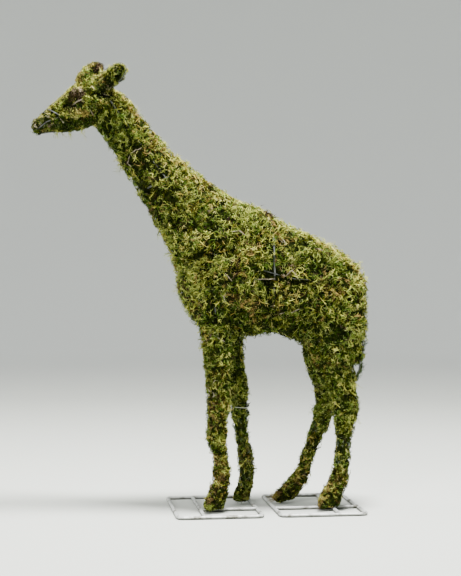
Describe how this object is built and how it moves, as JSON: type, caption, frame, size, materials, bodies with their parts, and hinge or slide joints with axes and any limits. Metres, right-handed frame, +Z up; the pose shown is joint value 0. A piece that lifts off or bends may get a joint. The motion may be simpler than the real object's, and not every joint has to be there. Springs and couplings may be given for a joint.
{
  "type": "mossed giraffe topiary",
  "caption": "Striding giraffe of curly green moss packed on a welded wire animal frame, its feet on two flat rectangular rod base frames.",
  "frame": {"origin": "on the ground under the middle of the whole, at the underside of the base frames", "axes": "+Z up, the animal faces -X, its left side faces -Y"},
  "size_m": [0.6762, 0.248, 0.8984],
  "materials": {
    "moss": "curly dried sphagnum and sheet moss, olive to yellow-green with brown strands, fully matt",
    "weathered_steel": "galvanised steel rod and wire, weathered dull grey"
  },
  "bodies": {
    "root": {"moss_body": "moss", "head_wires": "weathered_steel", "near_ear_rim": "weathered_steel", "far_ear_rim": "weathered_steel", "neck_wires": "weathered_steel", "trunk_wires": "weathered_steel", "near_fore_wire": "weathered_steel", "far_fore_wire": "weathered_steel", "near_thigh_wire": "weathered_steel", "far_thigh_wire": "weathered_steel", "front_base_frame": "weathered_steel", "rear_base_frame": "weathered_steel"}
  },
  "joints": []
}
